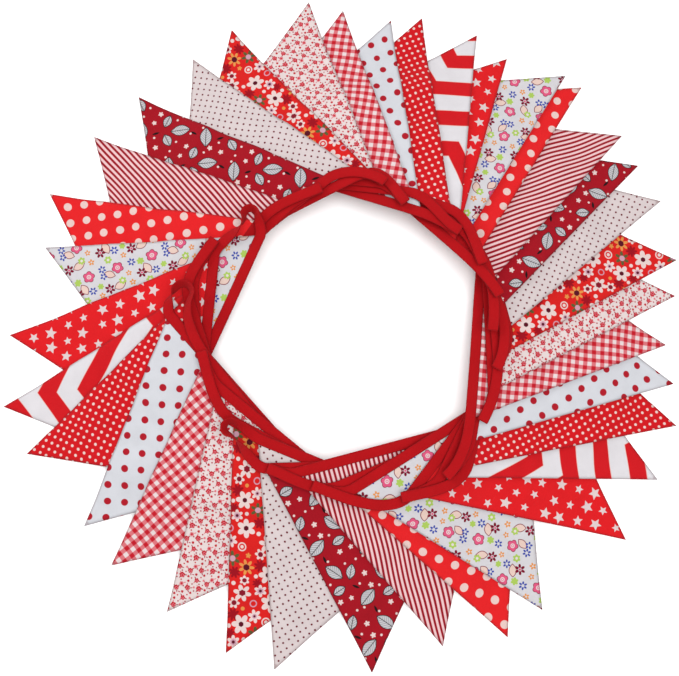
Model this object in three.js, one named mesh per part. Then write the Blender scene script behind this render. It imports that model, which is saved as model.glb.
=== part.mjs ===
// Fabric bunting: thirty-six cotton flags on one folded binding tape, laid on its side as a ring.
// Millimetres, +Z up, the floor at z = 0, the middle of the laid ring's outline at the origin.
// The tape is folded back and forth, and every flag laps over the next one clockwise.
import * as THREE from 'three';

// Flag, cut as a triangle. Its top edge is sewn into the tape.
const FLAG_HEIGHT = 190;
const FLAG_HALF_BASE = 94.7;
const FLAG_THICK = 1.0;
const FLAG_ROWS = 10;

// Binding tape, a strip folded lengthwise and sewn shut, along the flags' top edges.
const TAPE_WIDTH = 10;
const TAPE_THICK = 1.8;
const TAPE_MIDDLE = 195.4;      // from a flag's tip to the middle of the tape
const TAIL = 16;                // each end of the tape, past the last flag

// Ring in which the flags are fanned, and how high its layers stack.
const RING_X = -0.5;
const RING_Y = -9.4;
const PITCH_INNER = 3.0;        // one layer at the tape
const PITCH_OUTER = 2.3;        // one layer near the tips
const PITCH_FROM = 190;
const PITCH_TO = 290;
const UNDERLAY = 5.6;           // room under the inner pile for the hidden folds of tape
const UNDERLAY_FROM = 250;
const UNDERLAY_TO = 305;
const RAMP_INNER = 78;          // length over which a flag climbs onto the next one
const RAMP_OUTER = 36;
const RAMP_FROM = 150;
const RAMP_TO = 285;
const RAMP_LEAD = 10;
const LAYERS = 16;

// Hidden folds under the pile.
const UNDER_REACH = 20;
const UNDER_TOP = 3.1;
const UNDER_LOW = 0.95;
const UNDER_STEEP = 2.4;        // a strand is down after 1 / UNDER_STEEP of its length

// Where each flag lies: bearing of its tip clockwise from +Y and reach of its tip, both from the
// middle of the ring, and the lean of its centre line away from the ring's middle.
const FLAGS = [
  { print: 'stars', bearing: 268.9, reach: 334, lean: 6.8 },
  { print: 'meadow', bearing: 285.2, reach: 314, lean: 9.8 },
  { print: 'spots', bearing: 294.6, reach: 331, lean: 11.1 },
  { print: 'stripe', bearing: 307.5, reach: 326, lean: 10.1 },
  { print: 'leaves', bearing: 318.4, reach: 323, lean: 4.3 },
  { print: 'pins', bearing: 330.6, reach: 325, lean: 3.9 },
  { print: 'daisies', bearing: 339.2, reach: 338, lean: 6.4 },
  { print: 'roses', bearing: 353.5, reach: 350, lean: 14.2 },
  { print: 'gingham', bearing: 359.4, reach: 339, lean: 9.6 },
  { print: 'reddots', bearing: 8.1, reach: 331, lean: 11.9 },
  { print: 'dots', bearing: 13.5, reach: 341, lean: 7.5 },
  { print: 'chevron', bearing: 23.7, reach: 342, lean: 10.5 },
  { print: 'stars', bearing: 30.4, reach: 333, lean: 13.5 },
  { print: 'meadow', bearing: 40.5, reach: 353, lean: 18.3 },
  { print: 'spots', bearing: 43.8, reach: 356, lean: 15.2 },
  { print: 'stripe', bearing: 54.5, reach: 352, lean: 14.5 },
  { print: 'leaves', bearing: 60.3, reach: 348, lean: 11.2 },
  { print: 'pins', bearing: 67.4, reach: 351, lean: 10.0 },
  { print: 'daisies', bearing: 77.8, reach: 345, lean: 10.6 },
  { print: 'roses', bearing: 83.9, reach: 336, lean: 5.8 },
  { print: 'gingham', bearing: 92.6, reach: 322, lean: 3.8 },
  { print: 'reddots', bearing: 99.3, reach: 332, lean: 2.0 },
  { print: 'dots', bearing: 106.2, reach: 342, lean: -0.1 },
  { print: 'chevron', bearing: 115.8, reach: 341, lean: 1.8 },
  { print: 'stars', bearing: 127.1, reach: 342, lean: 1.5 },
  { print: 'meadow', bearing: 145.3, reach: 331, lean: 3.2 },
  { print: 'spots', bearing: 152.6, reach: 335, lean: 5.2 },
  { print: 'stripe', bearing: 163.3, reach: 319, lean: 2.2 },
  { print: 'leaves', bearing: 175.9, reach: 330, lean: 2.8 },
  { print: 'pins', bearing: 192.0, reach: 333, lean: 10.3 },
  { print: 'daisies', bearing: 200.4, reach: 331, lean: 7.9 },
  { print: 'roses', bearing: 212.3, reach: 322, lean: 7.0 },
  { print: 'gingham', bearing: 224.7, reach: 322, lean: 6.3 },
  { print: 'reddots', bearing: 232.9, reach: 318, lean: -4.6 },
  { print: 'dots', bearing: 248.5, reach: 335, lean: 3.9 },
  { print: 'chevron', bearing: 257.1, reach: 345, lean: 7.9 },
];

// Loops of bare tape on top of the pile, one for each pair of flags. The end of the loop lies
// this far ahead of the lower flag's corner and this far in towards the ring's middle.
const LOOPS = [
  { ahead: 27, inward: -8 },
  { ahead: 32, inward: 8 },
  { ahead: 19, inward: 17 },
  { ahead: 29, inward: 17 },
  { ahead: 42, inward: 6 },
  { ahead: 40, inward: 18 },
  { ahead: 65, inward: 0 },
  { ahead: 46, inward: 17 },
  { ahead: 36, inward: 20 },
  { ahead: 30, inward: 11 },
  { ahead: 38, inward: 17 },
  { ahead: 36, inward: 24 },
  { ahead: 30, inward: 22 },
  { ahead: 23, inward: 10 },
  { ahead: 34, inward: 0 },
  { ahead: 35, inward: 15 },
  { ahead: 15, inward: 21 },
  { ahead: 46, inward: 22 },
];

// Ground colour of each print, and of the tape.
const GROUND = {
  stars: 0xd81f26, meadow: 0xe9e6ea, spots: 0xd81f26, stripe: 0xd98a90, leaves: 0xb01624,
  pins: 0xe6dcdf, daisies: 0xcf2a22, roses: 0xe8d2d3, gingham: 0xd9686c, reddots: 0xe9e7ec,
  dots: 0xcc3438, chevron: 0xd4222c,
};
const TAPE_COLOUR = 0xc0121c;

const rad = THREE.MathUtils.degToRad;
const ease = (x) => THREE.MathUtils.smoothstep(x, 0, 1);
const between = (x, from, to, a, b) => a + (b - a) * THREE.MathUtils.smoothstep(x, from, to);
const UP = new THREE.Vector3(0, 0, 1);

// One flag's place on the floor: its tip, the way down its centre line to the tape, and the way
// along its top edge to its clockwise corner.
const places = FLAGS.map(({ bearing, reach, lean }) => {
  const tip = new THREE.Vector2(
    RING_X + reach * Math.sin(rad(bearing)), RING_Y + reach * Math.cos(rad(bearing)));
  const turn = rad(bearing + 180 + lean);
  const down = new THREE.Vector2(Math.sin(turn), Math.cos(turn));
  const along = new THREE.Vector2(-down.y, down.x);
  const at = (depth, across) => tip.clone().addScaledVector(down, depth).addScaledVector(along, across);
  return { tip, down, along, at, under: at(TAPE_MIDDLE + TAPE_WIDTH / 2, -FLAG_HALF_BASE - 2) };
});

const radius = (p) => Math.hypot(p.x - RING_X, p.y - RING_Y);
const bearingOf = (p) => Math.atan2(p.x - RING_X, p.y - RING_Y);

// Bearing, at radius r, of the edge that a flag hides under the flag before it.
function hiddenEdge(place, r) {
  const { tip, under } = place;
  if (r >= radius(tip)) return bearingOf(tip);
  if (r <= radius(under)) return bearingOf(under);
  const ex = under.x - tip.x, ey = under.y - tip.y;
  const fx = tip.x - RING_X, fy = tip.y - RING_Y;
  const a = ex * ex + ey * ey, b = ex * fx + ey * fy, c = fx * fx + fy * fy - r * r;
  const s = (-b - Math.sqrt(Math.max(0, b * b - a * c))) / a;
  return bearingOf({ x: tip.x + s * ex, y: tip.y + s * ey });
}

const halfTurn = (a) => a - 2 * Math.PI * Math.round(a / (2 * Math.PI));
const fullTurn = (a) => a - 2 * Math.PI * Math.floor(a / (2 * Math.PI));

// Height of the middle of flag k, or of its tape, over the floor at p. Each flag that p has
// reached clockwise of flag k adds one layer, climbed before that flag's hidden edge.
function layerHeight(k, p) {
  const r = radius(p);
  const ramp = between(r, RAMP_FROM, RAMP_TO, RAMP_INNER, RAMP_OUTER);
  const own = bearingOf(places[k].tip);
  const reached = halfTurn(bearingOf(p) - own);
  let level = 0;
  for (let n = 1; n <= LAYERS; n += 1) {
    const place = places[(k + n) % places.length];
    const next = bearingOf(place.tip);
    const edge = fullTurn(next - own) + halfTurn(hiddenEdge(place, r) - next);
    level += ease((r * (reached - edge) + RAMP_LEAD + ramp) / ramp);
  }
  return FLAG_THICK / 2 + between(r, UNDERLAY_FROM, UNDERLAY_TO, UNDERLAY, 0)
    + level * between(r, PITCH_FROM, PITCH_TO, PITCH_INNER, PITCH_OUTER);
}

function closedGeometry(points, faces) {
  let volume = 0;
  for (const [a, b, c] of faces) volume += points[a].dot(points[b].clone().cross(points[c]));
  const index = volume < 0 ? faces.map(([a, b, c]) => [a, c, b]) : faces;
  const geometry = new THREE.BufferGeometry();
  geometry.setAttribute('position', new THREE.Float32BufferAttribute(points.flatMap((p) => p.toArray()), 3));
  geometry.setIndex(index.flat());
  geometry.computeVertexNormals();
  return geometry;
}

// A flag is a triangle of rows, from its tip to its top edge, with an upper and a lower skin.
function flagGeometry(k) {
  const place = places[k];
  const points = [];
  const faces = [];
  const count = (FLAG_ROWS + 1) * (FLAG_ROWS + 2) / 2;
  const id = (row, i) => row * (row + 1) / 2 + i;
  for (const side of [1, -1]) {
    for (let row = 0; row <= FLAG_ROWS; row += 1) {
      for (let i = 0; i <= row; i += 1) {
        const p = place.at(FLAG_HEIGHT * row / FLAG_ROWS, FLAG_HALF_BASE * (2 * i - row) / FLAG_ROWS);
        points.push(new THREE.Vector3(p.x, p.y, layerHeight(k, p) + side * FLAG_THICK / 2));
      }
    }
  }
  for (let row = 0; row < FLAG_ROWS; row += 1) {
    for (let i = 0; i <= row; i += 1) {
      const cells = [[id(row, i), id(row + 1, i), id(row + 1, i + 1)]];
      if (i < row) cells.push([id(row, i), id(row + 1, i + 1), id(row, i + 1)]);
      for (const [a, b, c] of cells) faces.push([a, b, c], [a + count, c + count, b + count]);
    }
  }
  const rim = [];
  for (let row = 0; row < FLAG_ROWS; row += 1) rim.push(id(row, 0));
  for (let i = 0; i < FLAG_ROWS; i += 1) rim.push(id(FLAG_ROWS, i));
  for (let row = FLAG_ROWS; row > 0; row -= 1) rim.push(id(row, row));
  rim.forEach((a, i) => {
    const b = rim[(i + 1) % rim.length];
    faces.push([a, a + count, b], [b, a + count, b + count]);
  });
  return closedGeometry(points, faces);
}

// Stations of the tape: middle, way along, way in towards the ring's middle.
const station = (p, z, along, inward) => ({ middle: new THREE.Vector3(p.x, p.y, z), along, inward });
const flat = (v) => new THREE.Vector3(v.x, v.y, 0).normalize();

// Along a flag's top edge, from its under corner to its clockwise corner.
function heldRun(k) {
  const place = places[k];
  const run = [];
  for (let i = 0; i <= FLAG_ROWS; i += 1) {
    const across = FLAG_HALF_BASE * (2 * i - FLAG_ROWS) / FLAG_ROWS;
    const inner = place.at(TAPE_MIDDLE + TAPE_WIDTH / 2, across);
    const outer = place.at(TAPE_MIDDLE - TAPE_WIDTH / 2, across);
    const zi = layerHeight(k, inner), zo = layerHeight(k, outer);
    const inward = new THREE.Vector3(inner.x - outer.x, inner.y - outer.y, zi - zo).normalize();
    run.push(station(place.at(TAPE_MIDDLE, across), (zi + zo) / 2, flat(place.along), inward));
  }
  return run;
}

// A bare strand from corner to end, as a smooth curve in plan. heightAt gives its height.
function strand(from, fromWay, to, toWay, steps, heightAt) {
  const reach = from.distanceTo(to);
  const run = [];
  for (let i = 1; i <= steps; i += 1) {
    const s = i / steps, s2 = s * s, s3 = s2 * s;
    const p = from.clone().multiplyScalar(2 * s3 - 3 * s2 + 1)
      .addScaledVector(fromWay, reach * (s3 - 2 * s2 + s))
      .addScaledVector(to, 3 * s2 - 2 * s3).addScaledVector(toWay, reach * (s3 - s2));
    const way = from.clone().multiplyScalar(6 * s2 - 6 * s)
      .addScaledVector(fromWay, reach * (3 * s2 - 4 * s + 1))
      .addScaledVector(to, 6 * s - 6 * s2).addScaledVector(toWay, reach * (3 * s2 - 2 * s));
    const along = flat(way);
    const inward = along.clone().cross(UP).normalize();
    if (inward.dot(new THREE.Vector3(RING_X - p.x, RING_Y - p.y, 0)) < 0) inward.negate();
    run.push(station(p, heightAt(p, s), along, inward));
  }
  return run;
}

// The tape turns back under itself: from the end of the upper strand to that of the lower one.
function turnBack(upper, lower) {
  const rise = upper.middle.z - lower.middle.z;
  return [0.25, 0.5, 0.75].map((s) => {
    const a = Math.PI * s;
    const along = upper.along.clone().multiplyScalar(Math.cos(a)).addScaledVector(UP, -Math.sin(a));
    const middle = upper.middle.clone().addScaledVector(upper.along, Math.sin(a) * rise / 2);
    middle.z -= rise * (1 - Math.cos(a)) / 2;
    return { middle, along, inward: upper.inward.clone() };
  });
}

const backwards = (run) => run.slice().reverse().map((s) => ({ ...s, along: s.along.clone().negate() }));

// A loop over the pile from flag k's clockwise corner to that of flag k + 1, below it.
function loopOver(k, { ahead, inward }) {
  const low = places[k + 1], high = places[k];
  const corner = low.at(TAPE_MIDDLE, FLAG_HALF_BASE);
  const end = corner.clone().addScaledVector(low.along, ahead).addScaledVector(low.down, inward);
  const bend = Math.max(-0.6, Math.min(1.2, 1.5 * Math.atan2(inward, ahead)));
  const way = low.along.clone().multiplyScalar(Math.cos(bend)).addScaledVector(low.down, Math.sin(bend));
  const upper = strand(high.at(TAPE_MIDDLE, FLAG_HALF_BASE), high.along, end, way, 5, (p) => layerHeight(k, p));
  const lower = strand(corner, low.along, end, way, 5, (p) => layerHeight(k + 1, p));
  return [...upper, ...turnBack(upper.at(-1), lower.at(-1)), ...backwards(lower)];
}

const descend = (from, to) => (p, s) => from + (to - from) * ease(Math.min(1, UNDER_STEEP * s));

// A flat fold under the pile from flag k's under corner to that of flag k + 1.
function foldUnder(k) {
  const high = places[k], low = places[k + 1];
  const away = (place) => place.along.clone().negate();
  const start = high.at(TAPE_MIDDLE, -FLAG_HALF_BASE), other = low.at(TAPE_MIDDLE, -FLAG_HALF_BASE);
  const end = start.clone().addScaledVector(high.along, -UNDER_REACH);
  const upper = strand(start, away(high), end, away(high), 4, descend(layerHeight(k, start), UNDER_TOP));
  const lower = strand(other, away(low), end, away(high), 5, descend(layerHeight(k + 1, other), UNDER_LOW));
  return [...upper, ...turnBack(upper.at(-1), lower.at(-1)), ...backwards(lower)];
}

function tail(k) {
  const place = places[k];
  const start = place.at(TAPE_MIDDLE, -FLAG_HALF_BASE);
  const end = start.clone().addScaledVector(place.along, -TAIL);
  const away = place.along.clone().negate();
  return strand(start, away, end, away, 3, descend(layerHeight(k, start), UNDER_LOW));
}

function tapeGeometry() {
  const path = [...backwards(tail(0))];
  FLAGS.forEach((_, k) => {
    const held = heldRun(k);
    path.push(...(k % 2 === 0 ? held : backwards(held)));
    if (k % 2 === 0) path.push(...loopOver(k, LOOPS[k / 2]));
    else if (k + 1 < FLAGS.length) path.push(...foldUnder(k));
  });
  path.push(...tail(FLAGS.length - 1));
  const points = [];
  const faces = [];
  const half = TAPE_WIDTH / 2, leaf = TAPE_THICK / 2;
  for (const { middle, along, inward } of path) {
    const face = inward.clone().cross(along).normalize();
    for (const [w, n] of [[-half, -leaf], [half, -leaf], [half, leaf], [-half, leaf]]) {
      points.push(middle.clone().addScaledVector(inward, w).addScaledVector(face, n));
    }
  }
  const corners = 4;
  for (let i = 0; i + 1 < path.length; i += 1) {
    for (let j = 0; j < corners; j += 1) {
      const a = i * corners + j, b = i * corners + (j + 1) % corners;
      faces.push([a, b, a + corners], [b, b + corners, a + corners]);
    }
  }
  const last = (path.length - 1) * corners;
  faces.push([0, 2, 1], [0, 3, 2], [last, last + 1, last + 2], [last, last + 2, last + 3]);
  return closedGeometry(points, faces);
}

function cloth(name, geometry, colour, roughness) {
  const mesh = new THREE.Mesh(geometry, new THREE.MeshStandardMaterial({ color: colour, roughness, metalness: 0 }));
  mesh.name = name;
  return mesh;
}

const bunting = new THREE.Group();
bunting.name = 'fabric_bunting';
FLAGS.forEach(({ print }, k) => {
  bunting.add(cloth(`flag_${String(k + 1).padStart(2, '0')}`, flagGeometry(k), GROUND[print], 0.85));
});
bunting.add(cloth('binding_tape', tapeGeometry(), TAPE_COLOUR, 0.8));

export default bunting;
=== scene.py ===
# %% [markdown]
# # A fabric bunting, laid as a ring
#
# Thirty-six cotton flags hang on one red binding tape. Here the bunting is folded back and
# forth at the tape, like an accordion, and the folded stack is fanned into a closed ring with
# every tip outwards. The solids carry the size and the collision. This script dresses them:
# printed cloth for each flag, and the folded, stitched tape with its loops.

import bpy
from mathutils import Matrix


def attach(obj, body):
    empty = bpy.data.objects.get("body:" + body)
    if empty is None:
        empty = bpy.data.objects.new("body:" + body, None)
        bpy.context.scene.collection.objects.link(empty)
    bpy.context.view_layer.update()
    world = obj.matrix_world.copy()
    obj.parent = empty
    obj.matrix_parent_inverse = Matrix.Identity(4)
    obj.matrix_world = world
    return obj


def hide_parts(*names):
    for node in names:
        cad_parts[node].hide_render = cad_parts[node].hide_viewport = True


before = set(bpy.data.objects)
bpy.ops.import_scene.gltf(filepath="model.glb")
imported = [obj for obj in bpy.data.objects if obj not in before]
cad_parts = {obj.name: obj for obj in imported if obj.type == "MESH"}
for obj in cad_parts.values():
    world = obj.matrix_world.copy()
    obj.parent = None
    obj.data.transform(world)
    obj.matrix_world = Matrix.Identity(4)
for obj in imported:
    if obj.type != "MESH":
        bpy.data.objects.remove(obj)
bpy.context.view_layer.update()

# %% [markdown]
# ## Units and dyes
#
# Lengths of cloth are written in millimetres, and MM turns them into metres where a mesh needs
# them. A dye is written as it looks on a screen. The lamps lift every cloth by one share, so each
# dye is made darker by that share.

# %% Tools and units
import math

import bmesh
import bpy
from mathutils import Matrix, Vector, noise

MM = 0.001
TURN = 2 * math.pi
LIGHT = 1.56                 # how far the lamps lift a colour above its own value


def dye(red, green, blue):
    """Turns a cloth colour as it is seen, in screen values, into the values that a shader takes."""
    def linear(c):
        c /= 255
        return (c / 12.92 if c <= 0.04045 else ((c + 0.055) / 1.055) ** 2.4) / LIGHT
    return (linear(red), linear(green), linear(blue), 1.0)


# %% [markdown]
# ## Where the flags lie
#
# Every flag is cut from the same triangle, so its place needs three numbers: the bearing and
# the reach of its tip, seen from the ring's middle, and the lean of its centre line. Working in
# these numbers, instead of in corner points, keeps all the flags the same size.

# %% Flag table
FLAG_HEIGHT = 190            # tip to tape
FLAG_HALF_BASE = 94.7
CAUGHT = 4.6                 # the cloth that runs on inside the tape
TAPE_WIDTH = 10
TAPE_HALF = TAPE_WIDTH / 2
TAPE_MIDDLE = 195.4          # tip to the middle of the tape
LAP_MARGIN = 2               # a flag counts from this far before its corner
RING = Vector((-0.5, -9.4))  # the ring's middle on the floor
PRINTS = ("stars", "meadow", "spots", "stripe", "leaves", "pins",
          "daisies", "roses", "gingham", "reddots", "dots", "chevron")
# bearing (degrees clockwise from +Y), reach, lean (degrees)
LAID = (
    (268.9, 334, 6.8), (285.2, 314, 9.8), (294.6, 331, 11.1), (307.5, 326, 10.1),
    (318.4, 323, 4.3), (330.6, 325, 3.9), (339.2, 338, 6.4), (353.5, 350, 14.2),
    (359.4, 339, 9.6), (8.1, 331, 11.9), (13.5, 341, 7.5), (23.7, 342, 10.5),
    (30.4, 333, 13.5), (40.5, 353, 18.3), (43.8, 356, 15.2), (54.5, 352, 14.5),
    (60.3, 348, 11.2), (67.4, 351, 10.0), (77.8, 345, 10.6), (83.9, 336, 5.8),
    (92.6, 322, 3.8), (99.3, 332, 2.0), (106.2, 342, -0.1), (115.8, 341, 1.8),
    (127.1, 342, 1.5), (145.3, 331, 3.2), (152.6, 335, 5.2), (163.3, 319, 2.2),
    (175.9, 330, 2.8), (192.0, 333, 10.3), (200.4, 331, 7.9), (212.3, 322, 7.0),
    (224.7, 322, 6.3), (232.9, 318, -4.6), (248.5, 335, 3.9), (257.1, 345, 7.9),
)


class Place:
    """One flag's place on the floor: its tip, the way from it to the tape, and along the tape."""

    def __init__(self, bearing, reach, lean):
        out = math.radians(bearing)
        turn = math.radians(bearing + 180 + lean)
        self.tip = RING + reach * Vector((math.sin(out), math.cos(out)))
        self.down = Vector((math.sin(turn), math.cos(turn)))
        self.along = Vector((-self.down.y, self.down.x))
        self.bearing = bearing_of(self.tip)
        self.far = (self.tip - RING).length
        self.under = self.at(TAPE_MIDDLE + TAPE_HALF, -FLAG_HALF_BASE - LAP_MARGIN)
        self.near = (self.under - RING).length

    def at(self, depth, across):
        """The point so far from the tip, and so far from the centre line."""
        return self.tip + depth * self.down + across * self.along


def bearing_of(p):
    """The way to p from the ring's middle, clockwise from +Y."""
    return math.atan2(p.x - RING.x, p.y - RING.y)


places = [Place(*row) for row in LAID]
print("flags laid:", len(places))

# %% [markdown]
# ## How high the layers lie
#
# Each flag laps over the next one clockwise, all the way round. So at any point of the floor
# the height of a flag is one pitch for each flag that has already started below it. A flag climbs
# onto the next one over a ramp, which is long near the tape and short near the tips, where the
# cloth lies flat on the table. The same rule shapes the solids, so each sheet lies in its own
# solid's place.

# %% Layer height
# FROM and TO are distances from the ring's middle, and a value changes between them
PITCH_INNER, PITCH_OUTER, PITCH_FROM, PITCH_TO = 3.0, 2.3, 190, 290    # one layer
UNDERLAY, UNDERLAY_FROM, UNDERLAY_TO = 5.6, 250, 305                   # room for hidden tape
RAMP_INNER, RAMP_OUTER, RAMP_FROM, RAMP_TO = 78, 36, 150, 285          # length of a climb
RAMP_LEAD = 10               # a climb ends this far before the edge that it leads onto
LAYERS = 16                  # how many flags on, clockwise, can still lie below
REST = 0.5                   # from the table to the middle of the lowest sheet


def ease(x):
    """A smooth step from 0 to 1."""
    x = min(1.0, max(0.0, x))
    return x * x * (3 - 2 * x)


def between(x, start, end, a, b):
    """Goes smoothly from a to b while x goes from start to end."""
    return a + (b - a) * ease((x - start) / (end - start))


def half_turn(a):
    """The same angle, from minus half a turn to half a turn."""
    return a - TURN * round(a / TURN)


def hidden_edge(place, r):
    """Bearing, at radius r, of the edge that a flag hides under the flag before it."""
    if r >= place.far:
        return place.bearing
    if r <= place.near:
        return bearing_of(place.under)
    edge = place.under - place.tip
    start = place.tip - RING
    a, b, c = edge.dot(edge), edge.dot(start), start.dot(start) - r * r
    s = (-b - math.sqrt(max(0.0, b * b - a * c))) / a
    return bearing_of(place.tip + s * edge)


def layer_height(k, p):
    """Height of the middle of flag k's sheet over the point p."""
    r = (p - RING).length
    ramp = between(r, RAMP_FROM, RAMP_TO, RAMP_INNER, RAMP_OUTER)
    own = places[k].bearing
    reached = half_turn(bearing_of(p) - own)
    level = 0.0
    for n in range(1, LAYERS + 1):
        place = places[(k + n) % len(places)]
        edge = (place.bearing - own) % TURN + half_turn(hidden_edge(place, r) - place.bearing)
        level += ease((r * (reached - edge) + RAMP_LEAD + ramp) / ramp)
    pitch = between(r, PITCH_FROM, PITCH_TO, PITCH_INNER, PITCH_OUTER)
    return REST + between(r, UNDERLAY_FROM, UNDERLAY_TO, UNDERLAY, 0) + level * pitch


print("height at a loop end: %.1f mm" % layer_height(8, places[8].at(TAPE_MIDDLE, FLAG_HALF_BASE)))

# %% [markdown]
# ## Node helpers
#
# A printed cloth is a ground colour with motifs laid over it. Each motif is a mask worked out
# from the cloth's own flat coordinates, which every flag carries in its UV map in metres. Short
# names for the Math nodes keep those sums readable.

# %% Short names for nodes
COLOUR_A, COLOUR_B, COLOUR_OUT = 6, 7, 2     # a Mix node's own sockets for colours
SOFT_RIM = 0.35              # width of a printed motif's soft rim


class Wiring:
    """Places nodes in one tree and wires numbers or sockets into them."""

    def __init__(self, tree):
        self.tree = tree

    def add(self, kind, **settings):
        made = self.tree.nodes.new(kind)
        for name, value in settings.items():
            setattr(made, name, value)
        return made

    def wire(self, value, socket):
        if isinstance(value, bpy.types.NodeSocket):
            self.tree.links.new(value, socket)
        else:
            socket.default_value = value

    def sum(self, operation, *values):
        made = self.add("ShaderNodeMath", operation=operation)
        for value, socket in zip(values, made.inputs):
            self.wire(value, socket)
        return made.outputs[0]

    def step(self, inside, soft=SOFT_RIM):
        """1 where a length in millimetres is positive, with a soft rim."""
        made = self.add("ShaderNodeMath", operation="MULTIPLY_ADD", use_clamp=True)
        self.wire(inside, made.inputs[0])
        made.inputs[1].default_value = 1 / soft
        made.inputs[2].default_value = 0.5
        return made.outputs[0]

    def mix(self, mask, below, above):
        """Lays one colour over another where the mask is 1."""
        made = self.add("ShaderNodeMix", data_type="RGBA")
        self.wire(mask, made.inputs["Factor"])
        self.wire(below, made.inputs[COLOUR_A])
        self.wire(above, made.inputs[COLOUR_B])
        return made.outputs[COLOUR_OUT]

    def place(self, group, **values):
        made = self.add("ShaderNodeGroup")
        made.node_tree = group
        for name, value in values.items():
            self.wire(value, made.inputs[name])
        return made.outputs


def new_group(name, inputs, outputs):
    """An empty node group, the wiring for it, and its inputs and outputs."""
    group = bpy.data.node_groups.new(name, "ShaderNodeTree")
    for label, kind in inputs:
        group.interface.new_socket(label, in_out="INPUT", socket_type="NodeSocket" + kind)
    for label, kind in outputs:
        group.interface.new_socket(label, in_out="OUTPUT", socket_type="NodeSocket" + kind)
    c = Wiring(group)
    return group, c, c.add("NodeGroupInput").outputs, c.add("NodeGroupOutput").inputs


def floats(text):
    return [(label, "Float") for label in text.split()]


# %% [markdown]
# ## Motifs
#
# Dots on a staggered grid, stars, flowers and leaves are all that these cottons need. A flower
# is a circle whose radius swells and shrinks as you go round it, and a leaf is where two arcs
# overlap. Each is a node group, so one good motif serves every print. A motif with a Repeat
# comes back after that many millimetres, as a printing screen does.

# %% Dots and stars
dots_group, c, i, o = new_group("dot_grid", floats("Across Down Cell Radius"), floats("Mask"))
grid = []
for shift in (0.0, 0.5):
    ends = []
    for way in ("Across", "Down"):
        turns = c.sum("ADD", c.sum("DIVIDE", i[way], i["Cell"]), shift)
        ends.append(c.sum("MULTIPLY", c.sum("SUBTRACT", c.sum("FRACT", turns), 0.5), i["Cell"]))
    grid.append(c.sum("SQRT", c.sum("ADD", c.sum("MULTIPLY", ends[0], ends[0]),
                                    c.sum("MULTIPLY", ends[1], ends[1]))))
c.wire(c.step(c.sum("SUBTRACT", i["Radius"], c.sum("MINIMUM", *grid))), o["Mask"])


def polar(c, across, down):
    """Distance and angle from the motif's middle."""
    far = c.sum("SQRT", c.sum("ADD", c.sum("MULTIPLY", across, across),
                              c.sum("MULTIPLY", down, down)))
    return far, c.sum("ARCTAN2", down, across)


STAR_WAIST = 0.46            # a star's inner radius, as a share of its outer one
STAR_STEP = math.pi / 5      # from a point to the next waist
star_group, c, i, o = new_group("star", floats("Across Down Radius Turn"), floats("Mask"))
far, angle = polar(c, i["Across"], i["Down"])
fold = c.sum("PINGPONG", c.sum("ADD", angle, i["Turn"]), STAR_STEP)
side, rest = STAR_WAIST * math.sin(STAR_STEP), 1 - STAR_WAIST * math.cos(STAR_STEP)
edge = c.sum("DIVIDE", c.sum("MULTIPLY", i["Radius"], side),
             c.sum("ADD", c.sum("MULTIPLY", c.sum("COSINE", fold), side),
                   c.sum("MULTIPLY", c.sum("SINE", fold), rest)))
c.wire(c.step(c.sum("SUBTRACT", edge, far)), o["Mask"])
print("motifs:", dots_group.name, star_group.name)


# %% Flowers and leaves
def repeated(c, i):
    """Millimetres from the motif's own middle, in the nearest repeat."""
    ends = []
    for way, middle in (("Across", "X"), ("Down", "Y")):
        turns = c.sum("ADD", c.sum("DIVIDE", c.sum("SUBTRACT", i[way], i[middle]), i["Repeat"]), 0.5)
        ends.append(c.sum("MULTIPLY", c.sum("SUBTRACT", c.sum("FRACT", turns), 0.5), i["Repeat"]))
    return ends


flower_group, c, i, o = new_group(
    "flower", floats("Across Down Repeat X Y Radius Petals Notch Hole Turn"), floats("Mask"))
far, angle = polar(c, *repeated(c, i))
swell = c.sum("ABSOLUTE", c.sum("COSINE", c.sum("MULTIPLY", c.sum("ADD", angle, i["Turn"]),
                                                c.sum("MULTIPLY", i["Petals"], 0.5))))
edge = c.sum("MULTIPLY", i["Radius"], c.sum("ADD", c.sum("SUBTRACT", 1.0, i["Notch"]),
                                            c.sum("MULTIPLY", i["Notch"], swell)))
petals = c.step(c.sum("SUBTRACT", edge, far))
c.wire(c.sum("MULTIPLY", petals, c.step(c.sum("SUBTRACT", far, i["Hole"]))), o["Mask"])

RIB_SLANT, RIB_EVERY = 0.9, 2.6      # lean of a leaf's side ribs, and the way from one to the next
SPINE_HALF, RIB_HALF = 0.35, 0.1     # half widths: the spine's, and the ribs' as a share of RIB_EVERY
RIB_SOFT, RIB_INK = 0.12, 0.75
leaf_group, c, i, o = new_group(
    "leaf", floats("Across Down Repeat X Y Length Width Turn"), floats("Mask Vein"))
dx, dy = repeated(c, i)
cos, sin = c.sum("COSINE", i["Turn"]), c.sum("SINE", i["Turn"])
lx = c.sum("ADD", c.sum("MULTIPLY", dx, cos), c.sum("MULTIPLY", dy, sin))
ly = c.sum("ABSOLUTE", c.sum("SUBTRACT", c.sum("MULTIPLY", dy, cos), c.sum("MULTIPLY", dx, sin)))
share = c.sum("DIVIDE", lx, c.sum("MULTIPLY", i["Length"], 0.5))
belly = c.sum("MULTIPLY", c.sum("MULTIPLY", i["Width"], 0.5),
              c.sum("SUBTRACT", 1.0, c.sum("MULTIPLY", share, share)))
c.wire(c.step(c.sum("SUBTRACT", belly, ly)), o["Mask"])
slanted = c.sum("SUBTRACT", lx, c.sum("MULTIPLY", ly, RIB_SLANT))
ribs = c.sum("ABSOLUTE", c.sum("SUBTRACT", c.sum("FRACT", c.sum("DIVIDE", slanted, RIB_EVERY)), 0.5))
spine = c.step(c.sum("SUBTRACT", SPINE_HALF, ly))
side_ribs = c.step(c.sum("SUBTRACT", RIB_HALF, ribs), RIB_SOFT)
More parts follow.
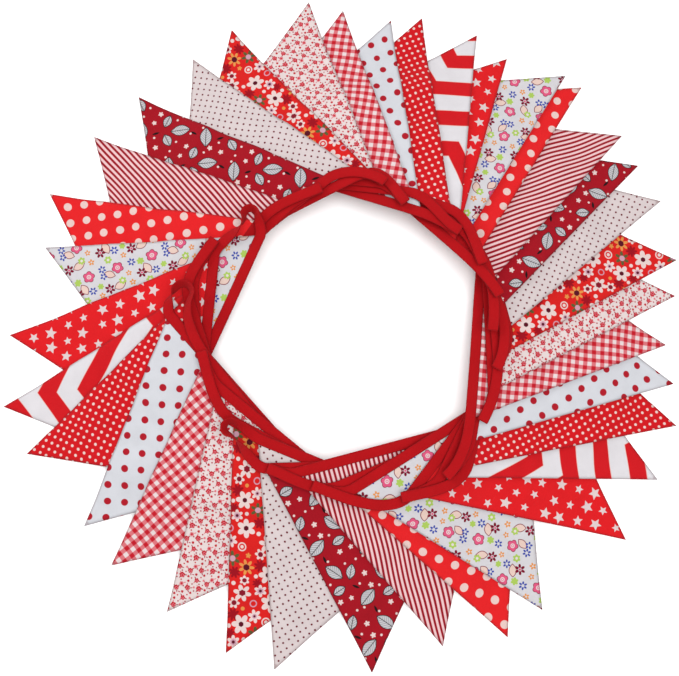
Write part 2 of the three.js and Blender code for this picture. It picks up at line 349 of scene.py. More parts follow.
c.wire(c.sum("MAXIMUM", spine, c.sum("MULTIPLY", side_ribs, RIB_INK)), o["Vein"])
print("motifs:", flower_group.name, leaf_group.name)

# %% [markdown]
# ## Cotton
#
# Under the print, all the flags are the same plain-weave cotton. Two sets of fine threads give
# a small bump, and the dye takes a little unevenly. Both sit in one group that every print uses.

# %% Cotton group
THREAD = 0.55                # from thread to thread
THREAD_DARK, THREAD_LIFT = 0.96, 0.06        # colour between the threads, and what they add to it
CLOUD_SCALE, CLOUD_DETAIL = 55, 4            # the uneven dye
CLOUD_HEIGHT = 0.8           # the cloud's share in the bump
cotton_group, c, i, o = new_group(
    "cotton", [("Print", "Color"), ("Unevenness", "Float")], [("Colour", "Color"), ("Height", "Float")])
flat = c.add("ShaderNodeUVMap", uv_map="cloth").outputs[0]
split = c.add("ShaderNodeSeparateXYZ")
c.wire(flat, split.inputs[0])
threads = [c.sum("SINE", c.sum("MULTIPLY", split.outputs[n], TURN / (THREAD * MM))) for n in (0, 1)]
weave = c.sum("MULTIPLY", c.sum("ADD", c.sum("MULTIPLY", threads[0], threads[1]), 1.0), 0.5)
cloud = c.add("ShaderNodeTexNoise")
c.wire(flat, cloud.inputs["Vector"])
cloud.inputs["Scale"].default_value = CLOUD_SCALE
cloud.inputs["Detail"].default_value = CLOUD_DETAIL
tone = c.sum("ADD", 1.0, c.sum("MULTIPLY", c.sum("SUBTRACT", cloud.outputs[0], 0.5), i["Unevenness"]))
thread_tone = c.sum("ADD", THREAD_DARK, c.sum("MULTIPLY", weave, THREAD_LIFT))
shade = c.add("ShaderNodeVectorMath", operation="SCALE")
c.wire(i["Print"], shade.inputs[0])
c.wire(c.sum("MULTIPLY", tone, thread_tone), shade.inputs["Scale"])
c.wire(shade.outputs[0], o["Colour"])
c.wire(c.sum("ADD", weave, c.sum("MULTIPLY", cloud.outputs[0], CLOUD_HEIGHT)), o["Height"])
print("cotton threads every %.2f mm" % THREAD)


# %% Printed cotton material
FLAG_EDGE_PAINTED_SHADE, FLAG_EDGE_SHADE_SHARE = dye(120, 40, 48), 0.34     # a darker line along the long edges: painted shade, partly the pressed seam's own tone
# how far in the edge's painted shade and the seam's dent reach, how softly they fade, and the dent's
# depth
PRESS_AND_SHADE_IN, PRESS_AND_SHADE_SOFT, PRESSED_DEPTH = 0.9, 1.4, 1.5
COTTON_UNEVEN, COTTON_BUMP = 0.2, 0.35
BUMP_DEPTH = 0.5


def printed_cotton(name, draw):
    """A cotton material. draw(c, across, down) makes its colour from millimetres of flat cloth."""
    material = bpy.data.materials.new(name)
    material.use_nodes = True
    tree = material.node_tree
    c = Wiring(tree)
    shader = tree.nodes["Principled BSDF"]
    split = c.add("ShaderNodeSeparateXYZ")
    c.wire(c.add("ShaderNodeUVMap", uv_map="cloth").outputs[0], split.inputs[0])
    across, down = (c.sum("DIVIDE", split.outputs[n], MM) for n in (0, 1))
    out = c.place(cotton_group, Print=draw(c, across, down), Unevenness=COTTON_UNEVEN)
    edge = c.add("ShaderNodeSeparateXYZ")
    c.wire(c.add("ShaderNodeUVMap", uv_map="edge").outputs[0], edge.inputs[0])
    from_edge = c.sum("DIVIDE", edge.outputs[0], MM)
    # painted shade: the colour darkens towards the long edges, and the same mask dents the pressed seam
    # into the bump
    press_and_shade = c.step(c.sum("SUBTRACT", PRESS_AND_SHADE_IN, from_edge), PRESS_AND_SHADE_SOFT)
    colour = c.mix(c.sum("MULTIPLY", press_and_shade, FLAG_EDGE_SHADE_SHARE), out["Colour"], FLAG_EDGE_PAINTED_SHADE)
    bump = c.add("ShaderNodeBump")
    bump.inputs["Strength"].default_value = COTTON_BUMP
    bump.inputs["Distance"].default_value = BUMP_DEPTH * MM
    height = c.sum("SUBTRACT", out["Height"], c.sum("MULTIPLY", press_and_shade, PRESSED_DEPTH))
    c.wire(height, bump.inputs["Height"])
    c.wire(colour, shader.inputs["Base Color"])
    c.wire(bump.outputs[0], shader.inputs["Normal"])
    shader.inputs["Roughness"].default_value = 0.9
    shader.inputs["Specular IOR Level"].default_value = 0.1
    shader.inputs["Sheen Weight"].default_value = 0.02
    return material


# %% [markdown]
# ## Twelve prints
#
# The geometric cottons come first: spots, pin dots, stripes, gingham and chevron are sums of
# the flat coordinates. Then the scattered stars, where every cell of a grid draws its own shift,
# turn and size. Last come the flower prints, each with a short chart of its motifs in one repeat.

# %% Geometric prints
RED = dye(228, 28, 34)
DEEP_RED = dye(160, 12, 28)
OFF_WHITE = dye(234, 222, 220)
STRIPE_EVERY, CHECK_EVERY, BAND_SOFT = 4.5, 8.4, 0.5
ZIGZAG, ZIGZAG_SLOPE, CHEVRON_EVERY = 55.0, 0.68, 41.0
CHEVRON_WHITE, CHEVRON_RIM = 0.5, 0.535      # share of the white band, and of it with its pink rim


def turned(c, across, down, degrees):
    co, si = math.cos(math.radians(degrees)), math.sin(math.radians(degrees))
    return (c.sum("ADD", c.sum("MULTIPLY", across, co), c.sum("MULTIPLY", down, si)),
            c.sum("SUBTRACT", c.sum("MULTIPLY", down, co), c.sum("MULTIPLY", across, si)))


def dotted(ground, dot, cell, radius, degrees):
    def draw(c, across, down):
        a, d = turned(c, across, down, degrees)
        mask = c.place(dots_group, Across=a, Down=d, Cell=cell, Radius=radius)["Mask"]
        return c.mix(mask, ground, dot)
    return draw


def bands(c, value, period, share=0.5):
    """1 over the given share of each period."""
    wave = c.sum("ABSOLUTE", c.sum("SUBTRACT", c.sum("FRACT", c.sum("DIVIDE", value, period)), 0.5))
    return c.step(c.sum("MULTIPLY", c.sum("SUBTRACT", share / 2, wave), period), BAND_SOFT)


def striped(c, across, down):
    return c.mix(bands(c, across, STRIPE_EVERY), dye(248, 206, 208), dye(158, 16, 34))


def gingham(c, across, down):
    both = c.sum("ADD", bands(c, across, CHECK_EVERY), bands(c, down, CHECK_EVERY))
    half = c.mix(c.sum("MINIMUM", both, 1.0), dye(240, 222, 222), dye(224, 120, 127))
    return c.mix(c.sum("MAXIMUM", c.sum("SUBTRACT", both, 1.0), 0.0), half, dye(200, 28, 44))


def chevron(c, across, down):
    zigzag = c.sum("MULTIPLY", c.sum("PINGPONG", across, ZIGZAG), ZIGZAG_SLOPE)
    height = c.sum("ADD", down, zigzag)
    rim = c.mix(bands(c, height, CHEVRON_EVERY, CHEVRON_RIM), dye(214, 24, 32), dye(240, 196, 186))
    return c.mix(bands(c, height, CHEVRON_EVERY, CHEVRON_WHITE), rim, dye(230, 226, 230))


# %% Scattered stars
STAR_CELL, STAR_JITTER = 16.5, 4.0
STAR_LEAST, STAR_SPREAD = 4.3, 2.6   # the smallest star's radius, and what the largest adds to it
STAR_SEEDS = (3.0, 11.0)     # each seed draws three numbers for a star


def starry(c, across, down):
    row = c.sum("FLOOR", c.sum("DIVIDE", down, STAR_CELL))
    stagger = c.sum("FRACT", c.sum("MULTIPLY", row, 0.5))
    slid = c.sum("ADD", across, c.sum("MULTIPLY", stagger, STAR_CELL))
    column = c.sum("FLOOR", c.sum("DIVIDE", slid, STAR_CELL))
    draws = []
    for seed in STAR_SEEDS:
        cell = c.add("ShaderNodeCombineXYZ")
        for value, socket in zip((column, row, seed), cell.inputs):
            c.wire(value, socket)
        lot = c.add("ShaderNodeTexWhiteNoise", noise_dimensions="3D")
        c.wire(cell.outputs[0], lot.inputs["Vector"])
        split = c.add("ShaderNodeSeparateXYZ")
        c.wire(lot.outputs["Color"], split.inputs[0])
        draws += list(split.outputs)
    ends = []
    for value, index, shift in ((slid, column, draws[0]), (down, row, draws[1])):
        middle = c.sum("MULTIPLY", c.sum("ADD", index, 0.5), STAR_CELL)
        middle = c.sum("ADD", middle, c.sum("MULTIPLY", c.sum("SUBTRACT", shift, 0.5), STAR_JITTER))
        ends.append(c.sum("SUBTRACT", value, middle))
    size = c.sum("ADD", STAR_LEAST, c.sum("MULTIPLY", c.sum("POWER", draws[2], 2.0), STAR_SPREAD))
    turn = c.sum("MULTIPLY", draws[3], TURN)
    mask = c.place(star_group, Across=ends[0], Down=ends[1], Radius=size, Turn=turn)["Mask"]
    return c.mix(mask, RED, dye(230, 210, 210))


# %% Flower prints
RIM_LONG, RIM_WIDE = 1.8, 1.5        # what a leaf's outline adds to its length and width


def flowered(ground, repeat, size, flowers=(), leaves=(), bloom=1.0):
    """Lays leaves, then flowers, each row of the chart over the rows before it."""
    def draw(c, across, down):
        colour = ground
        at = dict(Across=c.sum("DIVIDE", across, size), Down=c.sum("DIVIDE", down, size),
                  Repeat=repeat)
        for x, y, length, width, degrees, fill, rim, vein in leaves:
            turn = math.radians(degrees)
            if rim:
                outer = c.place(leaf_group, **at, X=x, Y=y, Length=length + RIM_LONG,
                                Width=width + RIM_WIDE, Turn=turn)
                colour = c.mix(outer["Mask"], colour, rim)
            leaf = c.place(leaf_group, **at, X=x, Y=y, Length=length, Width=width, Turn=turn)
            colour = c.mix(leaf["Mask"], colour, fill)
            if vein:
                colour = c.mix(c.sum("MULTIPLY", leaf["Mask"], leaf["Vein"]), colour, vein)
        for x, y, radius, petals, notch, hole, degrees, fill in flowers:
            flower = c.place(flower_group, **at, X=x, Y=y, Radius=bloom * radius, Petals=petals,
                             Notch=notch, Hole=bloom * hole, Turn=math.radians(degrees))
            colour = c.mix(flower["Mask"], colour, fill)
        return colour
    return draw


PINK, PLUM, BLUE = dye(228, 92, 132), dye(128, 14, 44), dye(58, 76, 168)
LIME, ORANGE, PEACH = dye(176, 206, 96), dye(232, 150, 76), dye(236, 206, 194)
WHITE, MAROON, OLIVE = dye(238, 214, 210), dye(92, 12, 34), dye(96, 92, 52)
LILAC = dye(214, 160, 178)
WHOLE = -1.0                 # no hole in the middle
ROUND = 3                    # with no notch, any number of petals makes a disc

# %% Meadow chart
# x, y, radius, petals, notch, hole, turn, colour
MEADOW = (
    (9, 10, 7.8, 5, 0.24, WHOLE, 10, PLUM), (9, 10, 7.0, 5, 0.26, WHOLE, 10, PINK),
    (9, 10, 2.9, ROUND, 0, 1.8, 0, OFF_WHITE), (9, 10, 1.0, ROUND, 0, WHOLE, 0, OFF_WHITE),
    (36, 33, 7.8, 5, 0.24, WHOLE, 40, PLUM), (36, 33, 7.0, 5, 0.26, WHOLE, 40, PINK),
    (36, 33, 2.9, ROUND, 0, 1.8, 0, OFF_WHITE), (36, 33, 1.0, ROUND, 0, WHOLE, 0, OFF_WHITE),
    (30, 9, 6.8, 6, 0.62, 2.1, 0, PLUM), (11, 36, 6.8, 6, 0.62, 2.1, 20, PLUM),
    (30, 9, 1.4, ROUND, 0, WHOLE, 0, PINK), (11, 36, 1.4, ROUND, 0, WHOLE, 0, PINK),
    (21, 21, 5.4, 6, 0.72, 1.9, 0, BLUE), (45, 19, 5.4, 6, 0.72, 1.9, 15, BLUE),
    (24, 43, 5.4, 6, 0.72, 1.9, 8, BLUE), (2, 24, 4.8, 5, 0.72, 1.6, 30, BLUE),
    (33, 20, 5.2, 6, 0.34, WHOLE, 0, LIME), (19, 2, 5.0, 6, 0.34, WHOLE, 12, LIME),
    (46, 44, 5.0, 6, 0.34, WHOLE, 20, LIME), (13, 26, 4.2, 6, 0.34, WHOLE, 5, LIME),
    (46, 44, 1.7, ROUND, 0, WHOLE, 0, OFF_WHITE), (33, 20, 1.7, ROUND, 0, WHOLE, 0, OFF_WHITE),
    (43, 5, 4.2, 5, 0.6, 1.2, 0, ORANGE), (21, 32, 4.0, 5, 0.6, 1.2, 0, ORANGE),
    (36, 46, 3.8, 5, 0.6, 1.2, 0, ORANGE),
)
# x, y, length, width, turn, fill, rim, vein
MEADOW_LEAVES = (
    (23, 12, 12, 7, 60, PEACH, PLUM, None), (3, 44, 12, 7, -35, PEACH, PLUM, None),
    (46, 29, 11, 6.5, 100, PEACH, PLUM, None),
)
print("meadow:", len(MEADOW), "flower rows,", len(MEADOW_LEAVES), "leaves")

# %% Daisy chart
DARK_CENTRE = dye(140, 20, 40)
DAISIES = (
    (2, 21, 5.4, 8, 0.5, WHOLE, 0, DEEP_RED), (29, 22, 4.4, 8, 0.5, WHOLE, 0, DEEP_RED),
    (34, 37, 5.6, 8, 0.5, WHOLE, 10, DEEP_RED), (17, 44, 5.8, 6, 0.55, WHOLE, 10, WHITE),
    (17, 44, 2.0, ROUND, 0, WHOLE, 0, LILAC), (17, 44, 1.0, ROUND, 0, WHOLE, 0, MAROON),
    (10, 11, 8.6, 6, 0.46, WHOLE, 0, WHITE), (10, 11, 2.3, 6, 0.1, WHOLE, 0, MAROON),
    (36, 8, 7.8, 6, 0.58, WHOLE, 15, WHITE), (36, 8, 3.0, 6, 0.2, WHOLE, 0, DARK_CENTRE),
    (24, 33, 8.4, 6, 0.46, WHOLE, 25, WHITE), (24, 33, 2.2, 6, 0.1, WHOLE, 0, MAROON),
    (44, 30, 7.0, 7, 0.72, WHOLE, 0, ORANGE), (44, 30, 2.8, 6, 0.1, WHOLE, 0, MAROON),
    (9, 31, 6.8, 6, 0.75, WHOLE, 0, OLIVE), (9, 31, 2.6, ROUND, 0, WHOLE, 0, LILAC),
    (23, 17, 5.8, 6, 0.5, WHOLE, 0, WHITE), (23, 17, 3.0, 6, 0.2, WHOLE, 0, LILAC),
    (23, 17, 1.4, ROUND, 0, WHOLE, 0, MAROON),
    (38, 46, 5.0, 6, 0.5, WHOLE, 20, WHITE), (38, 46, 2.2, ROUND, 0, WHOLE, 0, DARK_CENTRE),
    (6, 44, 3.8, ROUND, 0, 2.7, 0, WHITE), (6, 44, 1.5, ROUND, 0, WHOLE, 0, WHITE),
    (40, 19, 4.4, 6, 0.4, WHOLE, 0, WHITE), (40, 19, 2.0, ROUND, 0, WHOLE, 0, DARK_CENTRE),
    (33, 27, 1.8, ROUND, 0, WHOLE, 0, WHITE), (16, 23, 1.8, ROUND, 0, WHOLE, 0, WHITE),
    (47, 12, 1.9, ROUND, 0, WHOLE, 0, WHITE), (23, 4, 3.2, ROUND, 0, 2.2, 0, LILAC),
    (29, 45, 1.7, ROUND, 0, WHOLE, 0, ORANGE), (47, 40, 2.4, 5, 0.5, WHOLE, 0, ORANGE),
)
print("daisies:", len(DAISIES), "flower rows")

# %% Rose chart
ROSE, LIGHT_ROSE, SPRIG = dye(196, 30, 48), dye(228, 122, 132), dye(172, 44, 62)
ROSES = (
    (7, 6, 3.3, 5, 0.25, WHOLE, 0, ROSE), (7.6, 5.4, 1.9, 5, 0.25, 1.0, 20, LIGHT_ROSE),
    (21, 15, 3.5, 5, 0.25, WHOLE, 20, ROSE), (21.6, 14.6, 2.0, 5, 0.25, 1.1, 0, LIGHT_ROSE),
    (11, 22, 2.9, 5, 0.25, WHOLE, 40, ROSE), (11.4, 21.6, 1.6, 5, 0.25, 0.8, 10, LIGHT_ROSE),
    (26, 27, 3.1, 5, 0.25, WHOLE, 10, ROSE), (26.5, 26.6, 1.8, 5, 0.25, 0.9, 30, LIGHT_ROSE),
    (28, 5, 2.6, 5, 0.25, WHOLE, 60, LIGHT_ROSE), (28, 5, 1.1, ROUND, 0, WHOLE, 0, ROSE),
    (15, 3, 1.5, 3, 0.2, WHOLE, 0, ROSE), (2, 14, 1.6, 3, 0.2, WHOLE, 30, ROSE),
    (14, 12, 1.4, 3, 0.2, WHOLE, 10, LIGHT_ROSE), (29, 19, 1.5, 3, 0.2, WHOLE, 0, ROSE),
    (5, 28, 1.6, 3, 0.2, WHOLE, 50, ROSE), (19, 28, 1.4, 3, 0.2, WHOLE, 0, LIGHT_ROSE),
    (17, 8, 0.9, ROUND, 0, WHOLE, 0, SPRIG), (24, 9, 0.9, ROUND, 0, WHOLE, 0, ROSE),
    (9, 14, 0.9, ROUND, 0, WHOLE, 0, SPRIG), (3, 20, 0.9, ROUND, 0, WHOLE, 0, ROSE),
    (17, 20, 0.9, ROUND, 0, WHOLE, 0, SPRIG), (22, 22, 0.8, ROUND, 0, WHOLE, 0, SPRIG),
    (13, 29, 0.9, ROUND, 0, WHOLE, 0, ROSE), (1, 4, 0.9, ROUND, 0, WHOLE, 0, SPRIG),
)
ROSE_LEAVES = (
    (11, 3, 5.0, 1.6, 150, SPRIG, None, None), (4, 9.6, 4.6, 1.5, 125, LIGHT_ROSE, None, None),
    (11.4, 9, 4.2, 1.4, 45, SPRIG, None, None), (25, 18, 4.6, 1.6, 35, SPRIG, None, None),
    (17, 16.6, 4.8, 1.5, 155, LIGHT_ROSE, None, None), (20.4, 10.6, 4.4, 1.4, 100, SPRIG, None, None),
    (15, 23.6, 4.4, 1.5, 25, SPRIG, None, None), (7, 23.6, 4.6, 1.5, 160, SPRIG, None, None),
    (10, 17.8, 4.2, 1.4, 80, LIGHT_ROSE, None, None), (29.6, 23.6, 4.4, 1.5, 130, SPRIG, None, None),
    (22, 27.6, 4.2, 1.4, 170, SPRIG, None, None), (27, 0.4, 4.4, 1.5, 60, SPRIG, None, None),
    (30.6, 9, 4.4, 1.5, 55, LIGHT_ROSE, None, None), (1.6, 25, 4.0, 1.4, 20, SPRIG, None, None),
)
print("roses:", len(ROSES), "flower rows,", len(ROSE_LEAVES), "leaves")

# %% Leaf chart
LEAF_INK, LEAF_WHITE = dye(30, 16, 20), dye(206, 204, 208)
LEAVES = (
    (31, 8, 2.8, 5, 0.5, WHOLE, 0, WHITE), (7, 29, 2.8, 5, 0.5, WHOLE, 20, WHITE),
    (25, 46, 2.8, 5, 0.5, WHOLE, 0, WHITE), (45, 33, 2.5, 5, 0.5, WHOLE, 0, WHITE),
    (19, 20, 1.2, ROUND, 0, WHOLE, 0, WHITE), (40, 21, 1.2, ROUND, 0, WHOLE, 0, WHITE),
    (2, 17, 1.2, ROUND, 0, WHOLE, 0, WHITE), (17, 46, 1.2, ROUND, 0, WHOLE, 0, WHITE),
    (36, 47, 1.2, ROUND, 0, WHOLE, 0, WHITE), (33, 24, 1.2, ROUND, 0, WHOLE, 0, WHITE),
)
LEAF_ROWS = (
    (13, 9, 20, 11, 35, LEAF_WHITE, LEAF_INK, LEAF_INK),
    (29, 34, 20, 11, -50, LEAF_WHITE, LEAF_INK, LEAF_INK),
    (45, 9, 14, 8.5, 100, LEAF_WHITE, LEAF_INK, LEAF_INK),
    (8, 40, 13, 8, 150, LEAF_WHITE, LEAF_INK, LEAF_INK),
    (22, 22, 8, 2.4, 70, LEAF_INK, None, None), (40, 44, 8, 2.4, 20, LEAF_INK, None, None),
)
print("leaves:", len(LEAVES), "flower rows,", len(LEAF_ROWS), "leaves")

# %% Make the twelve cottons
DRAWINGS = {
    "stars": starry,
    "meadow": flowered(dye(219, 216, 220), 49.0, 0.95, MEADOW, MEADOW_LEAVES, 0.82),
    "spots": dotted(dye(234, 34, 38), dye(238, 206, 200), 23.6, 4.0, 0),
    "stripe": striped,
    "leaves": flowered(dye(168, 16, 32), 49.0, 0.98, LEAVES, LEAF_ROWS),
    "pins": dotted(dye(224, 210, 210), dye(112, 20, 38), 8.9, 1.0, 8),
    "daisies": flowered(dye(222, 32, 30), 49.0, 1.08, DAISIES),
    "roses": flowered(dye(236, 220, 218), 31.0, 0.68, ROSES, ROSE_LEAVES, 1.22),
    "gingham": gingham,
    "reddots": dotted(dye(219, 220, 226), dye(180, 26, 42), 22.6, 3.4, 0),
    "dots": dotted(dye(214, 22, 30), dye(242, 212, 206), 9.3, 1.38, 0),
    "chevron": chevron,
}
cottons = {name: printed_cotton(name + "_cotton", draw) for name, draw in DRAWINGS.items()}
print("cottons:", ", ".join(cottons))

# %% [markdown]
# ## Flags
#
# A flag is a triangle of doubled cotton, turned right side out and pressed. Here it starts flat, in
# a fine grid, keeps its flat measure in a UV map, and is then laid on the ring by the layer rule.
# A slow ripple and a fine crumple, both smaller than the gap between layers, keep the cloth from
# looking ironed. The print runs a little off the grain, as on cotton that has been pulled. Every
# second flag shows its back, so its print is laid the other way round.

# %% Cut a flag
GRID = 44                    # cuts in each edge of the flat triangle
RIPPLE, RIPPLE_SIZE = 1.5, 42        # height and size of the slow waves
CRUMPLE, CRUMPLE_SIZE = 0.6, 17      # and of the fine ones
CRUMPLE_SEED, FLAG_SEED = 5, 0.3     # where the noise is read, and how much further on for each flag
PULL, PULL_SIZE, PULL_SEED = 2.2, 46, 2.7    # how far the print strays from the grain, at most
FREE_OF_TAPE, FREE_OF_TABLE = 40, 6  # the waves grow over these distances
CLOTH_THICK = 0.7
STRAY_SEED = 7               # the prints stray in the same way on every run
# where the tip of each chevron flag is cut from its cloth, across and down
CUT_AT = {12: (-6.0, -0.5), 24: (-15.0, 7.6), 36: (-45.0, 2.2)}
NEXT_CUT = Vector((13.0, 29.0))      # how far on each later flag of another print is cut
FULL_HEIGHT = FLAG_HEIGHT + CAUGHT
FULL_HALF = FLAG_HALF_BASE * FULL_HEIGHT / FLAG_HEIGHT
print("flat flag: %.1f x %.1f mm" % (2 * FULL_HALF, FULL_HEIGHT))


def cut_flag():
    """A flat, finely divided triangle. x is across and y down from the tip, in millimetres."""
    bm = bmesh.new()
    corners = (0, 0, 0), (-FULL_HALF, FULL_HEIGHT, 0), (FULL_HALF, FULL_HEIGHT, 0)
    bm.faces.new([bm.verts.new(p) for p in corners])
    bmesh.ops.subdivide_edges(bm, edges=bm.edges[:], cuts=GRID, use_grid_fill=True)
    return bm


def measure(bm, k, shift, flip):
    """Writes the flat cloth's own coordinates, and the way in from its long edges, in metres."""
    cloth, edge = bm.loops.layers.uv.new("cloth"), bm.loops.layers.uv.new("edge")
    slant = math.hypot(FULL_HALF, FULL_HEIGHT)
    for face in bm.faces:
        for loop in face.loops:
            x, y, _ = loop.vert.co
            stray = PULL * noise.noise_vector(Vector((x / PULL_SIZE, y / PULL_SIZE, PULL_SEED * k)))
            loop[cloth].uv = ((flip * x + shift[0] + stray.x) * MM, (y + shift[1] + stray.y) * MM)
            loop[edge].uv = ((y * FULL_HALF - abs(x) * FULL_HEIGHT) / slant * MM, y * MM)


# %% Lay a flag
def lay_flag(bm, k):
    """Moves the flat triangle to its place, with the caught edge straight inside the tape."""
    place = places[k]
    for v in bm.verts:
        across, depth = v.co.x, v.co.y
        p = place.at(depth, across)
        z = layer_height(k, p)
        if depth > FLAG_HEIGHT:
            outer, inner = (layer_height(k, place.at(TAPE_MIDDLE + d, across))
                            for d in (-TAPE_HALF, TAPE_HALF))
            z = outer + (inner - outer) * (depth - TAPE_MIDDLE + TAPE_HALF) / TAPE_WIDTH
        free = ease((FLAG_HEIGHT - depth) / FREE_OF_TAPE) * ease((z - REST) / FREE_OF_TABLE)
        seed = FLAG_SEED * k
        z += RIPPLE * free * noise.noise(Vector((p.x / RIPPLE_SIZE, p.y / RIPPLE_SIZE, seed)))
        z += CRUMPLE * free * noise.noise(
            Vector((p.x / CRUMPLE_SIZE, p.y / CRUMPLE_SIZE, CRUMPLE_SEED + seed)))
        v.co = Vector((p.x, p.y, z)) * MM


def finish_sheet(bm, name, material, thickness):
    """Makes the laid sheet an object with its cloth's thickness."""
    bmesh.ops.recalc_face_normals(bm, faces=bm.faces)
    for face in bm.faces:
        face.smooth = True
    mesh = bpy.data.meshes.new(name)
    bm.to_mesh(mesh)
    bm.free()
    mesh.materials.append(material)
    piece = bpy.data.objects.new(name, mesh)
    bpy.context.collection.objects.link(piece)
    thick = piece.modifiers.new("cloth", "SOLIDIFY")
    thick.thickness = thickness * MM
    thick.offset = 0
    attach(piece, "root")
    return piece


# %% Make the flags
noise.seed_set(STRAY_SEED)
for k in range(len(places)):
    print_name = PRINTS[k % len(PRINTS)]
    bm = cut_flag()
    measure(bm, k, CUT_AT.get(k + 1, k // len(PRINTS) * NEXT_CUT), 1 if k % 2 == 0 else -1)
    lay_flag(bm, k)
    flag = finish_sheet(bm, "cotton_flag_%02d" % (k + 1), cottons[print_name], CLOTH_THICK)
    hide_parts("flag_%02d" % (k + 1))

# %% [markdown]
# ## Route of the tape
#
# The tape runs along each flag's top edge, then on, bare, to the next flag. Folded like an
# accordion, that bare length doubles back on itself: over the pile at the clockwise corners,
# where the loops show, and under the pile at the other corners. Most loops lie flat, and three
# stand open on their edge. A station on the route holds the tape's middle, the way it runs, the
# way in to the ring and how far its two leaves stand open.

# %% Sizes along the tape
OPEN_ON_FLAG, OPEN_BARE = 0.78, 0.42         # half the distance between the leaves
CLOSING_FROM, CLOSING = 2, 9         # where the leaves begin to close past a flag, and over what length
TAIL = 16                    # each end of the tape, past the last flag
UNDER_REACH, UNDER_TOP, UNDER_LOW = 20, 3.1, 0.95    # a hidden fold, and its two strands' heights
UNDER_STEEP = 2.4            # a strand is down after 1 / UNDER_STEEP of its length
HELD_STEPS, LOOP_STEPS, HIGH_STEPS, LOW_STEPS, TAIL_STEPS = 36, 18, 9, 12, 6
UP = Vector((0, 0, 1))
# from the lower flag's corner to the loop's end, ahead and inwards, and how wide the loop stands open
LOOPS = (
    (16, -17, 13), (32, 8, 0), (19, 17, 0), (29, 17, 0), (42, 6, 0), (40, 18, 0),
    (65, 0, 0), (46, 17, 0), (36, 20, 0), (30, 11, 0), (38, 17, 0), (36, 24, 0),
    (30, 22, 0), (23, 10, 0), (30, 0, 13), (35, 15, 0), (8, 24, 18), (46, 24, 0),
)
print("loops:", len(LOOPS), "standing:", sum(wide > 0 for _, _, wide in LOOPS))


# %% Held runs and bare strands
def flat3(v):
    """The way of v along the floor."""
    return Vector((v.x, v.y, 0)).normalized()


def held_run(k):
    """Along a flag's top edge, from its under corner to its clockwise corner."""
    place = places[k]
    run = []
    for n in range(HELD_STEPS + 1):
        across = FLAG_HALF_BASE * (2 * n / HELD_STEPS - 1)
        inner, outer = (place.at(TAPE_MIDDLE + d, across) for d in (TAPE_HALF, -TAPE_HALF))
        zi, zo = layer_height(k, inner), layer_height(k, outer)
        inward = Vector((inner.x - outer.x, inner.y - outer.y, zi - zo)).normalized()
        middle = place.at(TAPE_MIDDLE, across)
        station = Vector((middle.x, middle.y, (zi + zo) / 2))
        run.append((station, flat3(place.along), inward, OPEN_ON_FLAG))
    return run


def strand(start, start_way, end, end_way, steps, height):
    """A bare strand as a smooth curve in plan, from a corner to the turn."""
    reach = (end - start).length
    run = []
    for n in range(1, steps + 1):
        s = n / steps
        p = ((2 * s**3 - 3 * s**2 + 1) * start + reach * (s**3 - 2 * s**2 + s) * start_way
             + (3 * s**2 - 2 * s**3) * end + reach * (s**3 - s**2) * end_way)
        way = ((6 * s**2 - 6 * s) * start + reach * (3 * s**2 - 4 * s + 1) * start_way
               + (6 * s - 6 * s**2) * end + reach * (3 * s**2 - 2 * s) * end_way)
        along = flat3(way)
        inward = along.cross(UP).normalized()
        if inward.dot(Vector((RING.x - p.x, RING.y - p.y, 0))) < 0:
            inward.negate()
        closed = ease((s * reach - CLOSING_FROM) / CLOSING)
        gap = OPEN_BARE + (OPEN_ON_FLAG - OPEN_BARE) * (1 - closed)
        run.append((Vector((p.x, p.y, height(p, s))), along, inward, gap))
    return run


# %% Turns
def turn_back(upper, lower, steps=9):
    """The tape turns back under itself."""
    rise = upper[0].z - lower[0].z
    run = []
    for n in range(1, steps):
        a = math.pi * n / steps
        middle = upper[0] + math.sin(a) * rise / 2 * upper[1]
        middle.z -= rise * (1 - math.cos(a)) / 2
        run.append((middle, math.cos(a) * upper[1] - math.sin(a) * UP, upper[2].copy(), OPEN_BARE))
    return run


def round_turn(upper, lower, out, steps=14):
    """The tape goes round on its edge, from the upper strand's end to the lower one's."""
    middle, arm = (upper[0] + lower[0]) / 2, (upper[0] - lower[0]) / 2
    out = Vector((out.x, out.y, 0))
    run = []
    for n in range(1, steps):
        a = math.pi * n / steps
        along = flat3(math.cos(a) * out - math.sin(a) * arm)
        station = middle + math.cos(a) * arm + math.sin(a) * out
        run.append((station, along, upper[2].copy(), OPEN_BARE))
    return run


# %% Standing loops
ROLL_AT_TURN = math.radians(58)
# shares of the loop: where a roll begins, and how long it takes
ROLL_UP, ROLL_UP_FOR, ROLL_BACK, ROLL_BACK_FOR = 0.08, 0.3, 0.6, 0.32
TURN_STATIONS = 4            # to each side of the loop's middle, to see which way it turns


def stand_up(run):
    """Rolls a loop's tape onto its edge, so that the loop stands open, and on to flat again."""
    out_sign = 1 if run[0][2].dot(run[0][1].cross(UP)) > 0 else -1
    half = len(run) // 2
    turning = run[half - TURN_STATIONS][1].cross(run[half + TURN_STATIONS][1]).z
    outer_first = (turning > 0) == (out_sign > 0)
    stood = []
    for n, (p, along, inward, gap) in enumerate(run):
        s = n / (len(run) - 1)
        if not outer_first:
            s = 1 - s
        roll = (ROLL_AT_TURN * ease((s - ROLL_UP) / ROLL_UP_FOR)
                + (math.pi - ROLL_AT_TURN) * ease((s - ROLL_BACK) / ROLL_BACK_FOR))
        out = along.cross(UP).normalized() * (1 if turning > 0 else -1)
        width = math.cos(roll) * out + math.sin(roll) * UP
        stood.append((p + TAPE_HALF * math.sin(roll) * UP, along, width, gap))
    return stood


# %% Loops, folds and ends
def backwards(run):
    """The same stations, walked from the other end."""
    return [(p, -along, inward, gap) for p, along, inward, gap in reversed(run)]


BEND_GAIN, BEND_LEAST, BEND_MOST = 1.5, -0.6, 1.2    # how far a loop's end bends with its place


